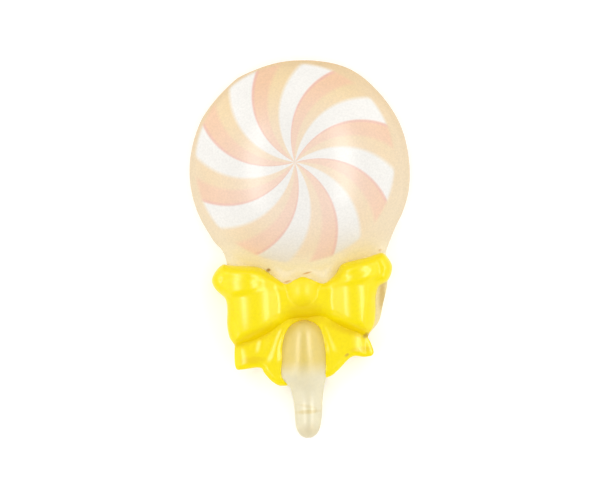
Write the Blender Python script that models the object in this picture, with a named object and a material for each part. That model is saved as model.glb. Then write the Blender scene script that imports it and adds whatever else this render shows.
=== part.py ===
"""A flat-backed resin lollipop charm, 38 mm long, lying on its back with its front up.

Three castings make it: a cream body, which is the domed round head, its neck and the thin back
that runs on behind the bow; a glossy yellow bow of two loops, a knot and two forked tails; and a
short milky stick, whose upper end lies on the tails. The head's dome carries a printed pinwheel.
+Z is the front, +Y runs from the stick to the head, and the origin is under the middle of the part.
"""

import math

import bmesh
import bpy
import numpy as np
from mathutils import Vector
from mathutils.geometry import delaunay_2d_cdt

MM = 0.001

# Heights above the surface that the charm lies on, in millimetres
BACK_THICKNESS = 1.3
GAP = 0.3
NECK_TOP = 2.1
HEAD_APEX = 6.6
BOW_UNDERSIDE = BACK_THICKNESS + GAP
BOW_WALL_TOP = 2.3
LOOP_CREST = 4.9
UPPER_ROLL_CREST = 4.85
LOOP_ROOT = 3.95
KNOT_CREST = 4.85
TAIL_CREST = 3.2
TAIL_FURROW = 2.8
STICK_BED = 2.0
STICK_UNDERSIDE = STICK_BED + GAP

# The head: a disc with an upright rim, a rounded shoulder and a shallow spherical dome
HEAD_RADIUS = 11.05
DOME_RADIUS = 15.0
SHOULDER_WIDTH = 0.7
RIM_TOP = 1.7
# The outline may run this far outside the true rim and still count as the head
RIM_SLACK = 0.1
# The rim was finished by hand: where it swells (degrees), by how much (mm) and how wide (degrees)
RIM_SWELLINGS = ((62.0, 0.28, 16.0), (122.0, 0.13, 6.0), (6.0, -0.11, 14.0), (151.0, 0.06, 6.0))

# The printed pinwheel, which sits up and to the left of the head's own middle
PRINT_CENTRE = (-0.5, 0.8)
PRINT_RADIUS = 9.9
PRINT_ARMS = 8
PRINT_START = 16.0
PRINT_WHITE = 17.4
PRINT_CREAM = 12.3
PRINT_TWIST = (-2.996, -0.0518, -0.0043)
PRINT_HUB = 0.35
PRINT_STEPS = 9

# The neck and the back's edge behind the bow, from the head's right side round to its left
NECK_RIGHT_ANGLE = -32.0
NECK_LEFT_ANGLE = 214.0
BACK_EDGE = (
    (-8.75, -6.9), (-8.1, -7.6), (-7.7, -8.6), (-7.5, -10.0), (-7.4, -12.6), (-7.35, -15.8),
    (-6.9, -17.0), (-6.85, -19.3), (-4.7, -19.25), (-3.3, -20.75), (-2.2, -21.15), (0.0, -21.15),
    (1.8, -20.6), (2.7, -20.1), (4.4, -18.55), (6.4, -18.4), (6.25, -16.8), (7.4, -15.3),
    (7.87, -13.6), (8.4, -11.4), (8.35, -9.4), (8.4, -8.2), (8.85, -7.1),
)
NECK_FILLET = 0.8
# Below here the back is a bare ledge beside the bow
LEDGE_START = -10.7
# Upright walls inside an outline lean back by this much, in millimetres
WALL_DRAFT = 0.12

# The bow, placed by its knot and leaning a little to the left of the charm's own line
KNOT_PLACE = (-0.15, -12.0)
BOW_LEAN = 1.4
KNOT_RADIUS = 1.4
KNOT_FILLET = 0.3
# How far the bow's edge stands above the head where it lies on it
BOW_OVER_HEAD = 0.15
# The outline of the loops and the pinched ribbon between them, in one line from the knot's top
LEFT_LOOP = (
    (-0.85, 1.1), (-1.6, 0.8), (-2.65, 1.5), (-3.5, 2.2), (-4.6, 2.7), (-7.1, 2.95), (-7.7, 3.1),
    (-8.4, 2.6), (-8.96, 1.6), (-8.6, 0.6), (-7.75, -0.3), (-7.58, -1.3), (-7.68, -3.0), (-7.5, -4.25),
    (-7.05, -5.05),
)
HEM = (
    (-5.9, -4.9), (-4.6, -4.5), (-3.3, -3.9), (-2.4, -3.35), (-1.5, -2.85), (-0.6, -2.75), (0.3, -2.8),
    (1.2, -2.65), (2.1, -2.8), (3.0, -3.4), (3.75, -3.8), (5.0, -4.35),
)
RIGHT_LOOP = (
    (6.3, -4.75), (6.95, -3.8), (7.2, -2.4), (7.3, -0.9), (7.7, 0.1), (8.6, 0.6), (9.1, 1.95),
    (8.4, 3.25), (7.7, 3.3), (6.6, 3.0), (4.2, 2.5), (3.6, 1.75), (2.95, 1.1), (2.1, 0.65), (1.0, 1.1),
    (0.1, 1.42),
)
LEFT_TAIL_EDGE = (
    (-7.1, -5.7), (-7.1, -7.1), (-6.75, -7.5), (-4.7, -7.4), (-4.25, -7.95), (-3.45, -8.9),
    (-2.2, -9.35),
)
RIGHT_TAIL_EDGE = (
    (1.8, -8.8), (3.0, -8.2), (4.55, -6.85), (5.8, -6.9), (6.7, -6.75), (6.72, -6.1), (6.4, -5.15),
)
# Each loop is a rolled ribbon. How far out the crest of its upper and of its lower roll is, and the
# radii that they are rolled to
LEFT_ROLLS = ((5.25, 4.2), (4.8, 3.67))
RIGHT_ROLLS = ((5.4, 3.3), (5.1, 2.7))
# How steep a roll gets on its way to the knot and on its way out
STEEPEST_IN = 0.45
STEEPEST_OUT = 1.0
# Where on the bow the upper and the lower roll are highest, and how gently they fall from there
UPPER_BEND = (1.3, 9.0)
LOWER_BEND = (-1.2, 24.0)
# The fold that parts the rolls, which fades out towards the knot
LEFT_FOLD = ((0.0, 0.7), (3.3, 0.5), (5.0, 0.1), (7.6, -0.3), (9.2, -0.6))
RIGHT_FOLD = ((0.0, 0.5), (3.3, 0.6), (5.0, 0.7), (7.0, 1.1), (9.2, 1.6))
FOLD_BLEND = 1.2
FOLD_DEPTH = 0.22
FOLD_WIDTH = 0.45
FOLD_START = 4.0
FOLD_RISE = 2.0
# How far in from the edge the rounding reaches, along most of it and along the hem
LOOP_SHOULDER = 0.9
HEM_SHOULDER = 1.7
HEM_LEVEL = -1.6
TAIL_SHOULDER = 0.7
# Each tail has two rolls that run down and outwards: a point on the inner one, and their width
TAIL_ROLL = (2.05, -3.6)
TAIL_LEAN = 21.0
TAIL_ROLL_WIDTH = 2.3
TAIL_LENGTH = 6.0

# The stick: how far down it each section lies, its half-width, its middle, and the heights of its
# upright sides and of its round top
STICK_TOP = (-0.1, -14.84)
STICK_SECTIONS = (
    (0.0, 0.35, 0.0, 2.5, 2.8), (0.15, 0.75, 0.0, 2.5, 3.2), (0.5, 1.37, 0.0, 2.5, 3.65),
    (1.3, 1.87, -0.05, 2.6, 4.1), (2.6, 2.18, -0.1, 2.6, 4.25), (4.0, 2.26, -0.1, 2.6, 4.1),
    (5.4, 2.3, -0.2, 2.6, 3.8), (6.15, 2.1, -0.1, 2.5, 3.5), (6.65, 1.75, 0.1, 2.4, 3.3),
    (7.2, 1.6, 0.17, 2.1, 3.1), (8.2, 1.45, 0.19, 1.9, 2.9), (9.5, 1.36, 0.19, 1.85, 2.8),
    (10.6, 1.24, 0.14, 1.75, 2.65), (11.25, 1.02, 0.11, 1.5, 2.4), (11.68, 0.66, 0.1, 1.2, 2.0),
    (11.87, 0.27, 0.1, 0.8, 1.5),
)
STICK_STEP = 6.75
STICK_SIDES = 12
CUTTER_WIDTH = 6.0

# How far apart the points of each mesh are, and the angle past which its edges are sharp
BOW_SPACING = 0.42
BODY_SPACING = 1.0
BODY_OUTLINE_SPACING = 0.6
RIM_STEP = 5.0
KNOT_RING_STEP = 18.0
SHARP_ANGLE = 40.0
# Lines of points that follow an edge at these depths, so that the rounding beside it is even
RIM_DEPTHS = (0.15, 0.4, SHOULDER_WIDTH)
BOW_EDGE_DEPTHS = (0.15, 0.5)
HEM_DEPTHS = (0.0, 0.12, 0.45)
KNOT_RING_SHARES = (0.99, 0.85, 0.5)
# How clear of an outline such lines stay
RIM_CLEARANCE = 0.08
BOW_CLEARANCE = 0.1
LINE_CLEARANCE = 0.3


def clear_scene():
    for obj in list(bpy.data.objects):
        bpy.data.objects.remove(obj, do_unlink=True)


def material(name, colour, roughness):
    """A Principled material; the colour is sRGB, 0 to 255."""
    made = bpy.data.materials.new(name)
    made.use_nodes = True
    shader = made.node_tree.nodes["Principled BSDF"]
    linear = [(value / 255.0) ** 2.2 for value in colour]
    shader.inputs["Base Color"].default_value = (*linear, 1.0)
    shader.inputs["Roughness"].default_value = roughness
    shader.inputs["Metallic"].default_value = 0.0
    made.diffuse_color = (*linear, 1.0)
    return made


def smooth_line(points, spacing, closed):
    """A Catmull-Rom curve through the points, read at about equal steps."""
    points = np.array(points, dtype=float)
    if closed:
        ring = np.vstack([points[-1], points, points[0], points[1]])
    else:
        ring = np.vstack([2 * points[0] - points[1], points, 2 * points[-1] - points[-2]])
    fine = []
    for before, start, end, after in zip(ring, ring[1:], ring[2:], ring[3:]):
        for t in np.linspace(0.0, 1.0, 12, endpoint=False):
            fine.append(
                0.5 * (2 * start + (end - before) * t
                       + (2 * before - 5 * start + 4 * end - after) * t ** 2
                       + (3 * start - before - 3 * end + after) * t ** 3)
            )
    fine.append(points[0] if closed else points[-1])
    fine = np.array(fine)
    along = np.concatenate([[0.0], np.cumsum(np.hypot(*np.diff(fine, axis=0).T))])
    steps = max(3, round(along[-1] / spacing))
    reads = np.linspace(0.0, along[-1], steps + 1)
    if closed:
        reads = reads[:-1]
    return np.column_stack([np.interp(reads, along, fine[:, axis]) for axis in (0, 1)])


def distance(places, line, closed=False):
    """How far each place is from a line of points."""
    line = np.asarray(line, dtype=float)
    ends = np.roll(line, -1, axis=0) if closed else line[1:]
    starts = line if closed else line[:-1]
    way = ends - starts
    length = np.maximum((way ** 2).sum(axis=1), 1e-12)
    nearest = np.full(len(places), np.inf)
    for start, along, squared in zip(starts, way, length):
        t = np.clip(((places - start) @ along) / squared, 0.0, 1.0)
        nearest = np.minimum(nearest, np.hypot(*(places - start - t[:, None] * along).T))
    return nearest


def inside(places, outline):
    """Whether each place lies inside a closed outline."""
    x, y = places.T
    crossings = np.zeros(len(places), dtype=int)
    for (x0, y0), (x1, y1) in zip(outline, np.roll(outline, -1, axis=0)):
        spans = (y0 > y) != (y1 > y)
        if spans.any():
            at = x0 + (y - y0) * (x1 - x0) / (y1 - y0 if y1 != y0 else 1.0)
            crossings += spans & (x < at)
    return crossings % 2 == 1


def inset(outline, amount):
    """The closed outline moved inwards by the amount, or outwards if it is negative."""
    ring = np.vstack([outline[-1], outline, outline[0]])
    return beside(ring, amount)[1:-1]


def beside(line, amount):
    """The line moved to its left by the amount."""
    along = np.gradient(line, axis=0)
    along /= np.hypot(*along.T)[:, None]
    return line + amount * np.column_stack([-along[:, 1], along[:, 0]])


def shoulder(distance_in, width):
    """0 at an edge, rising as a quarter circle to 1 at the given width from it."""
    t = np.clip(distance_in / width, 0.0, 1.0)
    return np.sqrt(1.0 - (1.0 - t) ** 2)


def soft_max(first, second, blend):
    """The higher of two surfaces, with a fillet where they meet."""
    mix = np.clip(0.5 + 0.5 * (first - second) / blend, 0.0, 1.0)
    return second + (first - second) * mix + blend * mix * (1.0 - mix)


def filling(outline, lines, spacing):
    """Points on a triangular grid inside the outline, clear of it and of the lines."""
    low, high = outline.min(axis=0), outline.max(axis=0)
    row_step = spacing * math.sqrt(0.75)
    points = []
    for row in range(int((high[1] - low[1]) / row_step) + 1):
        x_start = low[0] + (spacing / 2 if row % 2 else 0.0)
        for x in np.arange(x_start, high[0], spacing):
            points.append((x, low[1] + row * row_step))
    points = np.array(points)
    keep = inside(points, outline) & (distance(points, outline, True) > spacing * 0.6)
    for line in lines:
        keep &= distance(points, line) > spacing * 0.5
    return points[keep]


def runs_inside(line, outline, margin):
    """The stretches of a line that lie inside an outline, clear of it by the margin."""
    keep = inside(line, outline) & (distance(line, outline, True) > margin)
    runs = []
    run = []
    for point, kept in zip(line, keep):
        if kept:
            run.append(point)
        elif run:
            runs.append(np.array(run))
            run = []
    if run:
        runs.append(np.array(run))
    return [run for run in runs if len(run) > 1]


def relief_solid(name, outline, lines, spacing, height, underside, materials, ink=None):
    """A closed solid with a flat underside, an upright wall round the outline, and a top face
    whose height is a function of place. The top's triangles keep to the lines."""
    points = list(outline)
    edges = [(i, (i + 1) % len(outline)) for i in range(len(outline))]
    for line in lines:
        edges.extend((len(points) + i, len(points) + i + 1) for i in range(len(line) - 1))
        points.extend(line)
    points.extend(filling(outline, lines, spacing))
    flat, _, faces, _, _, _ = delaunay_2d_cdt([Vector(p) for p in points], edges, [], 1, 1e-5)
    places = np.array([tuple(point) for point in flat])

    built = bmesh.new()
    top = [built.verts.new((x, y, z)) for (x, y), z in zip(places, height(places))]
    for face in faces:
        made = built.faces.new([top[i] for i in face])
        if ink:
            made.material_index = ink(places[list(face)].mean(axis=0))
    rim = [edge for edge in built.edges if edge.is_boundary]
    walls = bmesh.ops.extrude_edge_only(built, edges=rim)["geom"]
    for vert in walls:
        if isinstance(vert, bmesh.types.BMVert):
            vert.co.z = underside
    open_edges = [edge for edge in built.edges if edge.is_boundary]
    bmesh.ops.contextual_create(built, geom=open_edges)
    bmesh.ops.delete(built, geom=[vert for vert in built.verts if not vert.link_faces], context="VERTS")
    return finished(name, built, materials)


def finished(name, built, materials):
    """An object made from a closed mesh in millimetres, shaded smooth but for its edges."""
    bmesh.ops.recalc_face_normals(built, faces=built.faces)
    bmesh.ops.scale(built, vec=(MM, MM, MM), verts=built.verts)
    mesh = bpy.data.meshes.new(name)
    built.to_mesh(mesh)
    built.free()
    for made in materials:
        mesh.materials.append(made)
    mesh.shade_smooth()
    mesh.set_sharp_from_angle(angle=math.radians(SHARP_ANGLE))
    obj = bpy.data.objects.new(name, mesh)
    bpy.context.collection.objects.link(obj)
    return obj


def turned(points, degrees):
    c, s = math.cos(math.radians(degrees)), math.sin(math.radians(degrees))
    x, y = np.asarray(points, dtype=float).T
    return np.column_stack([c * x - s * y, s * x + c * y])


def from_bow(points):
    """Places given from the knot, along the bow's own line, as places on the charm."""
    return turned(points, BOW_LEAN) + KNOT_PLACE


def to_bow(places):
    return turned(places - np.array(KNOT_PLACE), -BOW_LEAN)


def circle(radius, step):
    """Points round a circle, every so many degrees, with the first one again at the end."""
    angle = np.radians(np.arange(0.0, 360.0 + step / 2, step))
    return radius * np.column_stack([np.cos(angle), np.sin(angle)])


def rim_radius(degrees):
    """The rim's radius at an angle. Angles start again at the bottom, where the neck hides the rim."""
    degrees = (degrees + 90.0) % 360.0 - 90.0
    radius = np.full(np.shape(degrees), HEAD_RADIUS)
    for middle, swelling, width in RIM_SWELLINGS:
        radius = radius + swelling * np.exp(-(((degrees - middle) / width) ** 2))
    return radius


def head_rim(degrees):
    radius = rim_radius(degrees)
    angle = np.radians(degrees)
    return np.column_stack([radius * np.cos(angle), radius * np.sin(angle)])


def print_twist(radius):
    """How far an arm of the pinwheel has turned, in degrees, at a radius in millimetres."""
    return sum(turn * radius ** (power + 1) for power, turn in enumerate(PRINT_TWIST))


def print_line(start_angle):
    """One edge of a stripe, from near the pinwheel's hub to its rim."""
    radius = np.linspace(PRINT_HUB, PRINT_RADIUS, PRINT_STEPS)
    angle = np.radians(start_angle + print_twist(radius))
    return np.array(PRINT_CENTRE) + np.column_stack([radius * np.cos(angle), radius * np.sin(angle)])


def print_lines():
    lines = []
    for arm in range(PRINT_ARMS):
        start = PRINT_START + arm * 360.0 / PRINT_ARMS
        for offset in (0.0, PRINT_WHITE, PRINT_WHITE + PRINT_CREAM):
            lines.append(print_line(start + offset))
    lines.append(np.array(PRINT_CENTRE) + circle(PRINT_RADIUS, RIM_STEP))
    return lines


def ink(place):
    """Which of the body's materials a place on its front has: cream resin, white or pink ink."""
    x, y = place - np.array(PRINT_CENTRE)
    radius = math.hypot(x, y)
    if radius > PRINT_RADIUS:
        return 0
    sector = (math.degrees(math.atan2(y, x)) - PRINT_START - print_twist(radius)) % (360.0 / PRINT_ARMS)
    if sector < PRINT_WHITE:
        return 1
    return 2 if sector > PRINT_WHITE + PRINT_CREAM else 0


def bow_outline():
    points = (*LEFT_LOOP, *LEFT_TAIL_EDGE, *RIGHT_TAIL_EDGE, *RIGHT_LOOP)
    return smooth_line(from_bow(points), BOW_SPACING, closed=True)


def stick_outline():
    left = [(middle - half, -down) for down, half, middle, _, _ in STICK_SECTIONS]
    right = [(middle + half, -down) for down, half, middle, _, _ in STICK_SECTIONS]
    return np.array(left + right[::-1]) + np.array(STICK_TOP)


def body_outline():
    rim = head_rim(np.arange(NECK_RIGHT_ANGLE, NECK_LEFT_ANGLE, 7.0))
    return smooth_line([*rim, *BACK_EDGE], BODY_OUTLINE_SPACING, closed=True)


def beyond(places, outline):
    """How far each place is outside an outline, and 0 inside it."""
    return np.where(inside(places, outline), 0.0, distance(places, outline, True))


def head_height(places):
    x, y = places.T
    radius = np.hypot(x, y)
    in_from_rim = rim_radius(np.degrees(np.arctan2(y, x))) - radius
    dome = HEAD_APEX - DOME_RADIUS + np.sqrt(DOME_RADIUS ** 2 - np.minimum(radius, HEAD_RADIUS) ** 2)
    head = RIM_TOP + (dome - RIM_TOP) * shoulder(in_from_rim, SHOULDER_WIDTH)
    return np.where(in_from_rim < -RIM_SLACK, 0.0, head)


def body_height(places):
    y = places[:, 1]
    head = head_height(places)
    edge = distance(places, body_outline(), True)
    neck_top = np.where(y > LEDGE_START, NECK_TOP, BACK_THICKNESS)
    neck = BACK_THICKNESS + (neck_top - BACK_THICKNESS) * shoulder(edge, SHOULDER_WIDTH)
    front = soft_max(head, neck, NECK_FILLET)
    clear = (beyond(places, bow_outline()) - GAP) / WALL_DRAFT
    return BACK_THICKNESS + (front - BACK_THICKNESS) * np.clip(clear, 0.0, 1.0)


def make_body():
    outline = body_outline()
    bow = bow_outline()
    lines = []
    for line in print_lines():
        lines += runs_inside(line, outline, RIM_CLEARANCE)
    for offset in (GAP, GAP + WALL_DRAFT):
        lines += runs_inside(inset(bow, -offset), outline, BOW_CLEARANCE)
    rim = head_rim(np.arange(0.0, 360.0 + RIM_STEP / 2, RIM_STEP))
    for depth in RIM_DEPTHS:
        lines += runs_inside(rim * (1.0 - depth / HEAD_RADIUS), outline, RIM_CLEARANCE)
    materials = (
        material("cream_resin", (246, 222, 186), 0.15),
        material("white_ink", (246, 243, 237), 0.15),
        material("pink_ink", (245, 211, 184), 0.15),
    )
    return relief_solid("body", outline, lines, BODY_SPACING, body_height, 0.0, materials, ink)


def smooth_step(value):
    """0 below -0.5, 1 above 0.5, and smooth between."""
    t = np.clip(value + 0.5, 0.0, 1.0)
    return t * t * (3.0 - 2.0 * t)


def roll_drop(radius, off_crest, steepest):
    """How far a roll has dropped at a distance from its crest: round, then straight."""
    off_crest = np.abs(off_crest)
    reach = np.minimum(off_crest, radius * np.sin(np.arctan(steepest)))
    return radius - np.sqrt(radius ** 2 - reach ** 2) + steepest * (off_crest - reach)


def loop_height(x, y, rolls, fold_line):
    """One loop before its edges are rounded: an upper and a lower roll, and the fold between."""
    out = np.abs(x)
    heights = []
    levels = ((UPPER_ROLL_CREST, *UPPER_BEND), (LOOP_CREST, *LOWER_BEND))
    for (crest, radius), (top, bend, gentleness) in zip(rolls, levels):
        steepest = np.where(out < crest, STEEPEST_IN, STEEPEST_OUT)
        heights.append(top - roll_drop(radius, out - crest, steepest) - (y - bend) ** 2 / gentleness)
    upper, lower = heights
    fold = np.interp(out, *np.array(fold_line).T)
    height = lower + (upper - lower) * smooth_step((y - fold) / FOLD_BLEND)
    fades_in = smooth_step((out - FOLD_START) / FOLD_RISE)
    return height - FOLD_DEPTH * np.exp(-(((y - fold) / FOLD_WIDTH) ** 2)) * fades_in


def bow_edge_height(places):
    return np.maximum(BOW_WALL_TOP, head_height(places) + BOW_OVER_HEAD)


def upper_height(places):
    """The two loops and the pinched ribbon between them, with rounded edges."""
    edge = smooth_line(from_bow((*LEFT_LOOP, *HEM, *RIGHT_LOOP)), BOW_SPACING, closed=True)
    x, y = to_bow(places).T
    left = loop_height(x, y, LEFT_ROLLS, LEFT_FOLD)
    right = loop_height(x, y, RIGHT_ROLLS, RIGHT_FOLD)
    height = soft_max(np.where(x < 0.0, left, right), LOOP_ROOT, KNOT_FILLET)
    near_hem = smooth_step((HEM_LEVEL - y) / HEM_SHOULDER)
    width = LOOP_SHOULDER + (HEM_SHOULDER - LOOP_SHOULDER) * near_hem
    foot = bow_edge_height(places)
    height = foot + np.maximum(height - foot, 0.0) * shoulder(distance(places, edge, True), width)
    return np.where(inside(places, edge), height, 0.0)


def tail_furrow(across, way):
    """A line down one tail, at a distance outwards from its inner roll. way is -1 on the left."""
    lean = math.radians(TAIL_LEAN)
    down = np.arange(0.0, TAIL_LENGTH, BOW_SPACING)
    x = TAIL_ROLL[0] + across * math.cos(lean) + down * math.sin(lean)
    y = TAIL_ROLL[1] + across * math.sin(lean) - down * math.cos(lean)
    return from_bow(np.column_stack([way * x, y]))


def tail_height(places):
    """Forked ribbon tails, with rolls that run down and outwards, and furrows between them."""
    x, y = to_bow(places).T
    lean = math.radians(TAIL_LEAN)
    across = (np.abs(x) - TAIL_ROLL[0]) * math.cos(lean) + (y - TAIL_ROLL[1]) * math.sin(lean)
    roll = np.abs(np.cos(math.pi * across / TAIL_ROLL_WIDTH))
    height = TAIL_FURROW + (TAIL_CREST - TAIL_FURROW) * roll
    rise = shoulder(distance(places, bow_outline(), True), TAIL_SHOULDER)
    return BOW_WALL_TOP + (height - BOW_WALL_TOP) * rise


def knot_height(places):
    """A ball. Its sides are lost in the ribbon that it sits on before they are upright."""
    radius = np.hypot(*to_bow(places).T)
    drop = KNOT_RADIUS - np.sqrt(KNOT_RADIUS ** 2 - np.minimum(radius, KNOT_RADIUS) ** 2)
    return np.where(radius < KNOT_RADIUS, KNOT_CREST - drop, 0.0)


def bow_height(places):
    height = np.maximum(tail_height(places), upper_height(places))
    height = soft_max(height, knot_height(places), KNOT_FILLET)
    bed = np.clip((beyond(places, stick_outline()) - GAP) / WALL_DRAFT, 0.0, 1.0)
    return STICK_BED + (height - STICK_BED) * bed


def hem_lines():
    """Lines along the lower edge of the loops, where it stands in front of the tails."""
    along = smooth_line(from_bow((LEFT_LOOP[-1], *HEM, RIGHT_LOOP[0])), BOW_SPACING, closed=False)
    return [beside(along, depth) for depth in HEM_DEPTHS]


def make_bow():
    outline = bow_outline()
    lines = []
    for depth in BOW_EDGE_DEPTHS:
        lines += runs_inside(inset(outline, depth), outline, depth * 0.7)
    furrows = [tail_furrow(side * TAIL_ROLL_WIDTH / 2, way) for side in (-1.0, 1.0) for way in (-1.0, 1.0)]
    for line in (*hem_lines(), *furrows):
        lines += runs_inside(line, outline, LINE_CLEARANCE)
    for share in KNOT_RING_SHARES:
        lines += runs_inside(from_bow(circle(KNOT_RADIUS * share, KNOT_RING_STEP)), outline, BOW_CLEARANCE)
    stick = smooth_line(stick_outline(), BOW_SPACING, closed=True)
    for offset in (GAP, GAP + WALL_DRAFT):
        lines += runs_inside(inset(stick, -offset), outline, BOW_CLEARANCE)
    materials = (material("yellow_resin", (254, 230, 0), 0.2),)
    return relief_solid("bow", outline, lines, BOW_SPACING, bow_height, BOW_UNDERSIDE, materials)


def make_stick():
    """A stick with a flat back and a round front, cut away where its upper end lies on the tails."""
    built = bmesh.new()
    rings = []
    for down, half, middle, side, top in STICK_SECTIONS:
        corners = [(half, 0.0)]
        for step in range(STICK_SIDES + 1):
            angle = math.pi * step / STICK_SIDES
            corners.append((half * math.cos(angle), side + (top - side) * math.sin(angle)))
        corners.append((-half, 0.0))
        x_middle = STICK_TOP[0] + middle
        rings.append([built.verts.new((x_middle + x, STICK_TOP[1] - down, z)) for x, z in corners])
    for ring, following in zip(rings, rings[1:]):
        for i in range(len(ring)):
            built.faces.new((ring[i - 1], ring[i], following[i], following[i - 1]))
    built.faces.new(rings[0])
    built.faces.new(rings[-1])
    stick = finished("stick", built, (material("milky_resin", (240, 230, 200), 0.15),))
    cut = stick.modifiers.new("room for the tails", "BOOLEAN")
    cut.operation = "DIFFERENCE"
    cut.object = tails_cutter()
    return stick


def tails_cutter():
    """A helper block that takes away what would lie inside the tails and the back."""
    built = bmesh.new()
    bmesh.ops.create_cube(built, size=1.0)
    spare = 1.0
    size = Vector((CUTTER_WIDTH, STICK_STEP + spare, STICK_UNDERSIDE + spare))
    middle_y = STICK_TOP[1] + (spare - STICK_STEP) / 2
    middle = Vector((STICK_TOP[0], middle_y, (STICK_UNDERSIDE - spare) / 2))
    for vert in built.verts:
        vert.co = vert.co * size + middle
    cutter = finished("tails_cutter", built, ())
    cutter.hide_render = True
    cutter.display_type = "WIRE"
    return cutter


def main():
    clear_scene()
    charm = bpy.data.objects.new("charm", None)
    bpy.context.collection.objects.link(charm)
    pieces = [make_body(), make_bow(), make_stick()]
    corners = np.array([vert.co for piece in pieces for vert in piece.data.vertices])
    middle = (corners.min(axis=0) + corners.max(axis=0)) / 2
    for piece in [*pieces, bpy.data.objects["tails_cutter"]]:
        piece.parent = charm
    charm.location = (-middle[0], -middle[1], 0.0)


main()
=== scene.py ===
"""The looks of a flat-backed resin lollipop charm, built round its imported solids.

The charm lies on its back and is seen from straight above. Three castings show: the cream body with
a pinwheel printed on its dome, the glossy yellow bow, and the short milky stick. Lengths are in
millimetres until a mesh is finished, and places on the charm are given from the middle of its head.
"""

import math

import bmesh
import bpy
import numpy as np
from mathutils import Matrix, Vector
from mathutils.geometry import delaunay_2d_cdt


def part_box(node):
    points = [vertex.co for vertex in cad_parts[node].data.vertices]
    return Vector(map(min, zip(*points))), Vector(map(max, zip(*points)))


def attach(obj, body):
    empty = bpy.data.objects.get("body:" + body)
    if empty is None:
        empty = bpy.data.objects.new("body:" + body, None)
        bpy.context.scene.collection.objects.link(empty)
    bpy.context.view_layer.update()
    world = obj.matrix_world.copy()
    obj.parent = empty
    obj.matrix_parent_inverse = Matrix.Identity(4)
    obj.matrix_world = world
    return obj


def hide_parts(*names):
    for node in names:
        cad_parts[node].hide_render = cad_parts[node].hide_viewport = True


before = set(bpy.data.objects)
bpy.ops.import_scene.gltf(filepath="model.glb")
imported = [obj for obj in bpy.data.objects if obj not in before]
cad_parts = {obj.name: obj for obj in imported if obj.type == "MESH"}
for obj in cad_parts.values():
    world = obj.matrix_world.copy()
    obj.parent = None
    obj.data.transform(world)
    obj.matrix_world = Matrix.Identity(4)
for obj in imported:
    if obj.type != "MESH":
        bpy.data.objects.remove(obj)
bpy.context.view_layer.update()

MM = 0.001

# The photograph's frame, how long a pixel is on the charm, where the head's middle lies, and how many
# degrees the charm leans
IMAGE_SIZE = (600, 500)
PIXEL = 0.1
HEAD_PIXEL = (300.1, 171.0)
PHOTO_LEAN = 1.764
# The camera's height, the height on the charm that a pixel's length is true at, and the sensor
CAMERA_HEIGHT = 500.0
SCALE_HEIGHT = 1.5
SENSOR = 36.0

# The studio's lights, where 1 makes a white surface as bright as the picture can show, and its sizes
# in metres
STRIP_RADIANCE = 29.0
WALL_RADIANCE = 3.3
PANEL_RADIANCE = 0.25
TENT_RADIANCE = 0.88
# The lights that only the gloss shows: direction, distance, size and radiance. A direction is in
# degrees from overhead, to the right and towards the head, and a size is in degrees seen from the
# charm. The panel overhead is the only one that the gloss doesn't show
GLOSS_LIGHTS = {
    "left_strip": ((-35.0, 8.0), 0.5, (12.0, 60.0), STRIP_RADIANCE),
    "right_strip": ((35.0, 8.0), 0.5, (12.0, 60.0), STRIP_RADIANCE),
    "back_wall": ((0.0, 65.0), 0.8, (120.0, 34.0), WALL_RADIANCE),
    "left_wall": ((-72.0, 0.0), 0.8, (24.0, 100.0), WALL_RADIANCE),
    "right_wall": ((72.0, 0.0), 0.8, (24.0, 100.0), WALL_RADIANCE),
}
OVERHEAD = ((0.0, 0.0), 0.7, (88.0, 88.0), PANEL_RADIANCE)
FLOOR_SIZE = 3.0

# Heights above the surface that the charm lies on
BACK_TOP = 1.3
NECK_TOP = 2.1
NECK_FILL = 2.75
HEAD_APEX = 6.6
BOW_FOOT = 1.22
BOW_WALL_TOP = 2.3
KNOT_CREST = 4.75
TAIL_LEVEL = 2.98
STICK_BED = 2.0
# The tails slope down to this height beside the stick, over this width
BED_LIP = 2.95
BED_SLOPE = 0.5
# and drop to its bed under it, from this far inside its outline and over this width
BED_START = 0.1
BED_DROP = 0.25

# The head: a disc with an upright rim, a rounded shoulder and a shallow spherical dome
HEAD_RADIUS = 11.05
# From 0 up to this angle the rim is in view all round, and sets the body's top and left edges
RIM_IN_VIEW = 216.0
DOME_RADIUS = 15.0
SHOULDER_WIDTH = 0.7
RIM_TOP = 1.7
RIM_SLACK = 0.1
# The rim isn't quite round: at what angle it swells or shrinks, by how much, and how widely
RIM_SWELLINGS = ((62.0, 0.28, 16.0), (122.0, 0.13, 6.0), (6.0, -0.11, 14.0), (151.0, 0.06, 6.0))
NECK_FILLET = 0.8
LEDGE_START = -10.7
LEDGE_BLEND = 0.4
LEDGE_ROUNDING = 0.22
# The neck is raised towards the bow: its half-width and how softly that ends, how far down it goes,
# and how far from the bow half of the rise is done
NECK_HALF_WIDTH = 3.6
NECK_SIDE_BLEND = 3.0
NECK_END = -12.6
NECK_RISE = 1.2
# The body stays in place this far inside the bow's outline, and then drops out of its way over this
# width
BURIED = 0.35
BURIED_DROP = 0.3

# The printed pinwheel: eight arms of white, cream and pink that turn with the radius
PRINT_CENTRE = (-0.5, 0.8)
PRINT_RADIUS = 10.15
PRINT_FADE = 0.45
PRINT_ARM = 360.0 / 8
# An arm's turn in degrees, as the terms of a polynomial of the radius
PRINT_TURN = (16.0, -2.996, -0.0518, -0.0043)
# Where in an arm its white ends and its pink starts, how soft their edges are, and where the faint
# line at the pink's far edge starts, is full and ends
WHITE_END = 17.4 / PRINT_ARM
PINK_START = 29.7 / PRINT_ARM
INK_EDGE = 0.04
INK_MARGIN = 0.06
INK_LINE = (0.92, 0.95, 0.965)
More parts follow.
